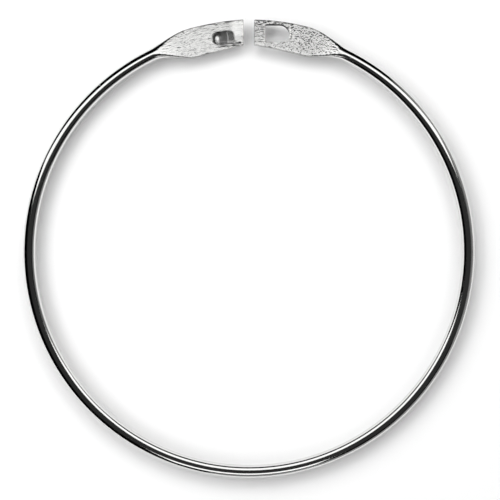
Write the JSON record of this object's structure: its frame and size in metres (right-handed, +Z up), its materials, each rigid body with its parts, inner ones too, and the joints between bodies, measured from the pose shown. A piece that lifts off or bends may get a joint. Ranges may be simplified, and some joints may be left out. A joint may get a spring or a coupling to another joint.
{
  "type": "bib ring",
  "caption": "Open spring-wire ring with flattened ends, one slotted and one with a locking peg, that carries cloth bibs.",
  "frame": {"origin": "the middle of the ring, at half the height of the wire", "axes": "+Z up out of the ring's plane, on the side the peg stands on; +Y from the middle of the ring to the gap between its ends; the peg end is on -X and the slot end on +X"},
  "size_m": [0.175, 0.1773, 0.005],
  "materials": {
    "plated_wire": "bright nickel-chrome plated spring steel wire, satin and finely crinkled where the ends are pressed flat"
  },
  "bodies": {
    "root": {"wire_ring": "plated_wire"}
  },
  "joints": []
}
